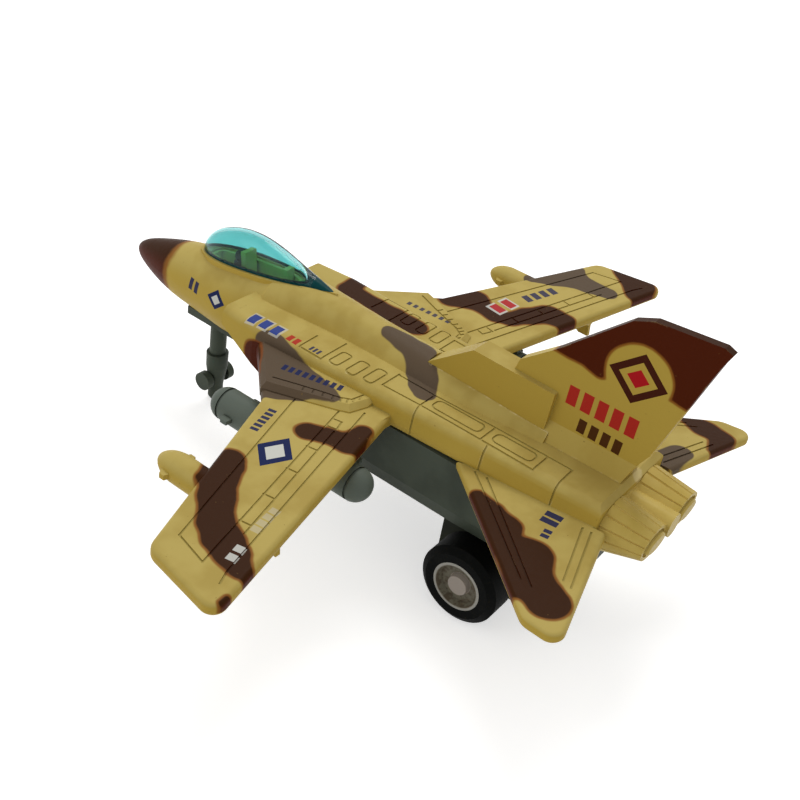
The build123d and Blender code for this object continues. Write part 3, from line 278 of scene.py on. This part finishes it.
# rows of plain dashes: start, end, half width, how many, inked share, ink, strength
# lozenges: middle, half length, half height, turn in degrees, ink, bare share inside
prints = {
    "above": {
        "dashes": [
            ((34.6, 2.2), (27.4, 0.3), 0.75, 6, 0.62, "navy", 0.95),
            ((59.4, 21.4), (55.4, 20.4), 0.85, 2, 0.7, "white", 0.85),
            ((52.6, 19.4), (46.0, 18.3), 0.8, 4, 0.8, "white", 0.3),
            ((-36.4, 7.6), (-29.2, 6.6), 2.0, 2, 0.72, "white", 0.8),
            ((-36.0, 7.6), (-29.6, 6.6), 1.5, 2, 0.62, "red", 0.95),
            ((-47.4, 11.2), (-38.4, 8.6), 1.2, 4, 0.66, "navy", 0.9),
            ((19.0, 49.6), (16.6, 49.3), 0.7, 2, 0.7, "navy", 0.95),
            ((15.9, 48.4), (12.6, 48.2), 1.5, 2, 0.76, "navy", 0.95),
            ((12.6, -19.8), (12.2, -11.4), 1.7, 3, 0.78, "white", 0.5),
            ((12.6, -19.6), (12.2, -11.6), 1.3, 3, 0.66, "blue", 0.95),
            ((12.3, -10.6), (12.3, -7.6), 0.9, 2, 0.7, "red", 0.9),
            ((11.9, -5.6), (11.9, -3.0), 0.7, 3, 0.6, "navy", 0.9),
            ((18.2, -6.4), (15.0, 5.4), 0.9, 9, 0.6, "navy", 0.95),
            ((-17.6, -5.6), (-18.2, 5.0), 0.6, 7, 0.55, "navy", 0.85),
        ],
        "lozenges": [
            ((36.2, 8.5), 4.6, 3.3, 12, "navy", 0.0),
            ((36.2, 8.5), 2.6, 1.9, 12, "white", 0.0),
        ],
    },
    "nose": {
        "dashes": [((-42.0, 29.8), (-38.6, 29.6), 1.2, 2, 0.62, "navy", 0.95)],
        "lozenges": [
            ((-33.6, 30.1), 2.5, 2.1, 0, "navy", 0.0),
            ((-33.6, 30.1), 1.3, 1.1, 0, "white", 0.0),
        ],
    },
    "fin": {
        "dashes": [
            ((39.8, 44.8), (53.6, 44.6), 1.8, 5, 0.68, "red", 0.95),
            ((43.0, 40.3), (52.0, 39.9), 1.3, 4, 0.66, "darkBrown", 0.95),
        ],
        "lozenges": [
            ((50.3, 53.2), 5.2, 4.6, 0, "darkBrown", 0.66),
            ((50.3, 53.2), 2.0, 1.7, 0, "red", 0.0),
        ],
    },
}


def printed(paint, where, colour, marks, allowed):
    for start, end, halfWide, count, share, ink, strength in marks["dashes"]:
        # along a row each pitch is inked for its first share; across it the ink ends at the half width
        length = math.hypot(end[0] - start[0], end[1] - start[1])
        turn = math.atan2(end[1] - start[1], end[0] - start[0])
        along = paint.ruler(where, start, turn, length / count)
        across = paint.ruler(where, start, turn + math.pi / 2, halfWide)
        inked = along.maths("FRACT") < share
        inside = (abs(along - count / 2) < count / 2) * (abs(across) < 1.0)
        colour = paint.mix(colour, inks[ink], inked * inside * allowed * strength)
    for middle, halfLong, halfHigh, turn, ink, bare in marks["lozenges"]:
        # inside where the two scaled distances from the middle add up to less than 1
        along = paint.ruler(where, middle, math.radians(turn), halfLong)
        across = paint.ruler(where, middle, math.radians(turn + 90.0), halfHigh)
        reach = abs(along) + abs(across)
        colour = paint.mix(colour, inks[ink], reach.within(bare, 1.0) * allowed)
    return colour


wear = {
    # pale paint where it is worn, also used as a painted highlight along edges
    "bare": rgb(214, 196, 140),
    "grime": rgb(128, 100, 52),
    # pale spots at the tail: wear, partly a painted highlight
    "rubbedAndHighlit": [((-2.2, 54.8, 34.8), 1.5), ((-1.0, 55.6, 39.6), 1.4)],      # place and radius, mm
    "grooveReach": 0.5,                  # how far a groove's walls are looked for, mm
    "edgeReach": 0.45,                   # and how far an edge is
    "flatUp": (0.9, 0.98),               # faces this flat keep their paint, so groove lips don't wear
    "castingRubAndHighlight": 0.75,                  # strength of the pale edges: wear and painted highlight
    "finRubAndHighlight": 0.3,
}


def grooves(paint):
    return paint.hollow(wear["grooveReach"]).ramp(0.3, 0.6)


def wornAndHighlit(paint, colour, up, groove, rubAndHighlight):
    # pale edges in places, partly wear and partly a painted highlight, and a few brown specks
    # pale convex edges: wear and a painted highlight
    edge = paint.hollow(wear["edgeReach"], inside=True).ramp(0.3, 0.55)
    patchy = paint.noise(0.35, 4.0, 0.7).ramp(0.5, 0.64)
    kept = up.ramp(*wear["flatUp"]).most(groove)
    colour = paint.mix(colour, wear["bare"], edge * patchy * (1.0 - kept) * rubAndHighlight)
    for place, radius in wear["rubbedAndHighlit"]:
        spot = (paint.away(paint.mm, place) + (patchy - 0.5) * 0.8).ramp(radius, radius - 0.6)
        colour = paint.mix(colour, wear["bare"], spot * 0.8)
    speck = paint.noise(1.1, 3.0, 0.6).ramp(0.71, 0.76)
    colour = paint.mix(colour, wear["grime"], speck * 0.7)
    return paint.grainy(colour, 0.36, 0.14, paint.noise(1.3, 3.0), 0.03, 0.05)


def castingPaint():
    look = camouflage
    paint = Paint("sandCamouflagePaint")
    above = paint.plan(paint.x, paint.y)
    beside = paint.plan(paint.y, paint.z)
    up = paint.facing("Z")
    port = paint.facing("X") > 0.4
    below = up.ramp(*look["under"]) * look["far"]
    noseCone = (paint.y - look["noseEdge"]) * look["noseSlope"]
    brown = (chainField(paint, above, look["brownAbove"], look["join"]) + below).least(noseCone)
    sidePatch = chainField(paint, beside, look["brownBeside"], look["join"])
    brown = brown.least(sidePatch + (1.0 - port) * look["far"])
    taupe = chainField(paint, above, look["taupeAbove"], look["join"]) + below
    groove = grooves(paint)
    colour = sprayed(paint, brown, taupe, up.ramp(*look["upright"]), groove)
    colour = printed(paint, above, colour, prints["above"], up > 0.4)
    colour = printed(paint, beside, colour, prints["nose"], port)
    return wornAndHighlit(paint, colour, up, groove, wear["castingRubAndHighlight"])


finLook = {
    "brownBeside": [[(42.4, 52.0, 1.3), (44.0, 51.8, 1.5)], [(58.0, 54.0, 1.7), (60.6, 54.2, 2.4)]],
    "join": 0.8,
    "skyLine": 51.1,                     # lower edge of the brown, mm above the ground
    "skyRise": 1.4,                      # how much higher it lies towards the rear
    "riseFrom": 46.0,                    # where that rise begins and ends, along, mm
    "riseTo": 52.0,
    "disc": (50.3, 53.2),                # middle of the bare disc, along and up, mm
    "discRadius": 6.0,
    "discSoft": 0.6,
}


def finPaint():
    # brown above a line and round two lobes, but not in the bare disc
    look = finLook
    paint = Paint("finCamouflagePaint")
    beside = paint.plan(paint.y, paint.z)
    rise = paint.y.ramp(look["riseFrom"], look["riseTo"]) * look["skyRise"]
    brown = chainField(paint, beside, look["brownBeside"], look["join"])
    brown = brown.maths("SMOOTH_MIN", (look["skyLine"] - paint.z) + rise, look["join"])
    bareDisc = look["discRadius"] - paint.away(beside, (*look["disc"], 1.0))
    brown = brown.maths("SMOOTH_MAX", bareDisc, look["discSoft"])
    up = paint.facing("Z")
    groove = grooves(paint)
    # with the painted shading on upright faces
    colour = sprayed(paint, brown, None, up.ramp(*camouflage["upright"]), groove)
    colour = printed(paint, beside, colour, prints["fin"], abs(paint.facing("X")) > 0.6)
    return wornAndHighlit(paint, colour, up, groove, wear["finRubAndHighlight"])


# plain plastics, metal and rubber

print("plastics and metal")
# colour, cloudy shade, roughness and fineness of the grain
plastics = {
    "cockpitPlastic": (rgb(232, 212, 118), rgb(214, 192, 96), 0.5, 1.2),
    "darkPlastic": (rgb(50, 54, 42), rgb(38, 40, 32), 0.5, 1.2),
    # painted shade: the pods' grey-green plastic, darkened for the chassis and nose gear in the wings' shadow
    "greyGreenPlasticPaintedShade": (rgb(74, 81, 70), rgb(60, 66, 57), 0.42, 1.6),
    "greyGreenPlastic": (rgb(95, 103, 94), rgb(82, 90, 82), 0.42, 1.6),
    "gearPlastic": (rgb(216, 216, 208), rgb(200, 200, 192), 0.35, 1.2),
}
cornerPaintedShade = {
    "shade": rgb(120, 120, 112),         # painted shade in corners: multiplies the plastic's colour
    "reach": 0.9,                        # mm
}


def moulded(name):
    # moulded plastic: cloudy shade, painted shade in the corners and a fine grain
    colour, shade, roughness, fineness = plastics[name]
    paint = Paint(name)
    tone = paint.mix(shade, colour, paint.noise(0.12, 3.0).ramp(0.3, 0.62))
    cornerShadeMask = paint.hollow(cornerPaintedShade["reach"]).ramp(0.15, 0.7)
    tone = paint.mix(tone, cornerPaintedShade["shade"], cornerShadeMask, "MULTIPLY")
    return paint.grainy(tone, roughness, 0.12, paint.noise(fineness, 3.0), 0.02, 0.1)


nozzleLook = {
    "colour": rgb(196, 171, 90),
    "shade": rgb(184, 158, 74),
    "dustAndPaintedLight": rgb(226, 204, 124),          # painted light: pale in the notches, to cancel the shade they fall in
    "notchReach": 0.8,
}


def nozzlePlastic():
    look = nozzleLook
    paint = Paint("sandNozzlePlastic")
    tone = paint.mix(look["shade"], look["colour"], paint.noise(0.14, 3.0).ramp(0.32, 0.62))
    # painted light: the notches are paled where shade falls
    notch = paint.hollow(look["notchReach"]).ramp(0.2, 0.6)
    tone = paint.mix(tone, look["dustAndPaintedLight"], notch * 0.8)
    return paint.grainy(tone, 0.36, 0.12, paint.noise(1.6, 3.0), 0.02, 0.14)


canopyLook = {
    "tint": rgb(143, 208, 208),
    "dark": rgb(4, 60, 62),
    "sillFront": (-44.35, 34.9),         # a point of the sill's line, along and up, mm
    "sillSlope": 0.1433,
    "rimHigh": 0.45,                     # height of the dark line over the sill, mm
    "tailFrom": -15.6,                   # where the solid tail begins, along, mm
}


def canopyTint():
    # clear teal, with an opaque sill line and tail
    look = canopyLook
    paint = Paint("tealCanopy")
    along, up = look["sillFront"]
    overSill = (paint.z - up) - (paint.y - along) * look["sillSlope"]
    rim = overSill.ramp(look["rimHigh"] + 0.12, look["rimHigh"] - 0.08)
    tail = paint.y.ramp(look["tailFrom"], look["tailFrom"] + 0.5)
    smear = paint.noise(0.4, 3.0).ramp(0.35, 0.75)
    clear = paint.skin(
        look["tint"], 0.03 + smear * 0.05, Transmission_Weight=1.0, IOR=1.3, Specular_IOR_Level=0.02,
    )
    solid = paint.skin(look["dark"], 0.3 + smear * 0.1, Specular_IOR_Level=0.06)
    return paint.finish(paint.add("ShaderNodeMixShader", {}, [rim.most(tail), clear, solid]))


# colour and roughness
metals = {
    "steel": (rgb(176, 176, 172), 0.3),
    "springSteel": (rgb(132, 136, 142), 0.28),
}


def metal(name):
    # brushed: the shine varies finely
    colour, roughness = metals[name]
    paint = Paint(name)
    brushed = paint.noise(6.0, 2.0)
    return paint.finish(paint.skin(colour, roughness + brushed * 0.12, Metallic=1.0))


tyreLook = {
    "black": rgb(4, 5, 4),
    "dustAndPaintedLight": rgb(12, 13, 11),
}


def tyreRubber():
    # black, with pale dust in places
    paint = Paint("blackTyre")
    dustAndPaintedLight = paint.noise(0.5, 4.0).ramp(0.5, 0.75)
    colour = paint.mix(tyreLook["black"], tyreLook["dustAndPaintedLight"], dustAndPaintedLight)
    return paint.grainy(colour, 0.55, 0.2, paint.noise(2.5, 3.0), 0.03, 0.06)


rimLook = {
    "axle": (35.55, 7.8),                # middle of the wheel, along and up, mm
    "bossRadius": 2.15,
    "lipRadius": 4.35,
    "pale": rgb(170, 168, 160),
    "boss": rgb(168, 158, 148),
    "dish": rgb(122, 118, 102),
    "grime": rgb(96, 86, 70),
}


def rimPlastic():
    # rings by distance from the axle: pale boss, darker blotched dish, pale lip
    look = rimLook
    paint = Paint("paleRim")
    radius = paint.away(paint.plan(paint.y, paint.z), (*look["axle"], 1.0))
    dirt = paint.noise(0.9, 4.0, 0.6)
    dish = paint.mix(look["dish"], look["grime"], dirt.ramp(0.42, 0.62))
    pastBoss = radius.ramp(look["bossRadius"] - 0.05, look["bossRadius"] + 0.1)
    onLip = radius.ramp(look["lipRadius"] - 0.15, look["lipRadius"] + 0.1)
    colour = paint.mix(look["boss"], dish, pastBoss)
    colour = paint.mix(colour, look["pale"], onLip)
    return paint.grainy(colour, 0.42, 0.1, dirt, 0.03, 0.2)


# each finish, and the nodes that wear it
finishes = [
    (castingPaint(), ["upper_body"]),
    (finPaint(), ["tail_fin"]),
    (nozzlePlastic(), ["nozzle_block"]),
    (canopyTint(), ["canopy"]),
    (moulded("cockpitPlastic"), ["cockpit_tub"]),
    (moulded("darkPlastic"), ["pilot", "motor_case_port", "motor_case_starboard"]),
    (moulded("greyGreenPlasticPaintedShade"), ["chassis", "nose_gear"]),
    (moulded("greyGreenPlastic"), ["port_pod", "starboard_pod"]),
    (moulded("gearPlastic"), ["spring_gear", "idler_gear", "axle_pinion"]),
    (rimPlastic(), ["port_rim", "starboard_rim"]),
    (tyreRubber(), ["port_tyre", "starboard_tyre"]),
    (metal("steel"), ["idler_shaft", "rear_axle", "chassis_screws", "motor_screws"]),
    (metal("springSteel"), ["mainspring"]),
]
for material, wearers in finishes:
    for name in wearers:
        mesh = nodes[name].data
        mesh.materials.clear()
        mesh.materials.append(material)


# stage, lights and camera

print("stage")
studio = {
    "lamps": {                           # watts, place and width, m
        "keyLamp": (1.55, (-0.25, -0.15, 0.60), 0.35),
        "fillLamp": (0.7, (0.45, -0.35, 0.45), 0.5),
    },
    "aim": (0.0, 0.0, 0.03),             # where both lamps point, m
    "worldLevel": 0.55,                  # strength of the room's own light
    "floorColour": (0.86, 0.86, 0.86, 1.0),
    "floorHalf": 6.0,                    # m
    "floorLift": 0.54,                   # glow of the floor where it is seen; it lights nothing
    "lens": 50.085,                      # mm
    "sensor": 36.0,                      # mm
    "cameraPlace": (0.1449, 0.09735, 0.1442),
    "cameraRight": (-0.60442, 0.78349, 0.14431),
    "cameraBack": (0.69660, 0.43185, 0.57294),
}


def addObject(name, data, matrix=None):
    thing = bpy.data.objects.new(name, data)
    bpy.context.scene.collection.objects.link(thing)
    if matrix is not None:
        thing.matrix_world = matrix
    return thing


def seenLevel(graph, lighting, seen):
    # one strength for light that falls on things, and one for what the camera sees straight, in a mirror
    # or through glass
    kinds = ("Is Camera Ray", "Is Glossy Ray", "Is Transmission Ray")
    straight, mirrored, through = [graph.add("ShaderNodeLightPath", {}, output=kind) for kind in kinds]
    direct = straight.most(mirrored).most(through)
    return graph.add("ShaderNodeMapRange", {}, {"Value": direct, "To Min": lighting, "To Max": seen})


def makeFloor():
    # a flat square, lit by the lamps, lifted to white for the camera
    half = studio["floorHalf"]
    mesh = bpy.data.meshes.new("floor")
    points = [(-half, -half, 0), (half, -half, 0), (half, half, 0), (-half, half, 0)]
    mesh.from_pydata(points, [], [(0, 1, 2, 3)])
    graph = Graph(bpy.data.materials.new("paleFloor"))
    lit = graph.add("ShaderNodeBsdfDiffuse", {}, {"Color": studio["floorColour"]})
    lift = graph.add("ShaderNodeEmission", {}, {"Strength": seenLevel(graph, 0.0, studio["floorLift"])})
    mesh.materials.append(graph.finish(graph.add("ShaderNodeAddShader", {}, [lit, lift])))
    addObject("floor", mesh)


def makeWorld():
    world = bpy.data.worlds.new("softRoom")
    bpy.context.scene.world = world
    graph = Graph(world)
    values = {"Color": (1.0, 1.0, 1.0, 1.0), "Strength": seenLevel(graph, studio["worldLevel"], 1.0)}
    graph.finish(graph.add("ShaderNodeBackground", {}, values), "ShaderNodeOutputWorld")


def addLamp(name, power, spot, width):
    lamp = bpy.data.lights.new(name, "AREA")
    lamp.shape = "DISK"
    lamp.size = width
    lamp.energy = power
    toward = Vector(studio["aim"]) - Vector(spot)
    turn = toward.to_track_quat("-Z", "Y").to_matrix().to_4x4()
    addObject(name, lamp, Matrix.Translation(spot) @ turn)


def makeCamera():
    camera = bpy.data.cameras.new("camera")
    camera.sensor_width = studio["sensor"]
    camera.lens = studio["lens"]
    camera.clip_start = 0.01
    camera.clip_end = 20.0
    right = Vector(studio["cameraRight"]).normalized()
    back = Vector(studio["cameraBack"]).normalized()
    up = back.cross(right).normalized()
    turn = Matrix((right, up, back)).transposed().to_4x4()
    matrix = Matrix.Translation(studio["cameraPlace"]) @ turn
    bpy.context.scene.camera = addObject("camera", camera, matrix)


makeFloor()
makeWorld()
for name, (power, spot, width) in studio["lamps"].items():
    addLamp(name, power, spot, width)
makeCamera()
bpy.context.scene.view_settings.view_transform = "Standard"
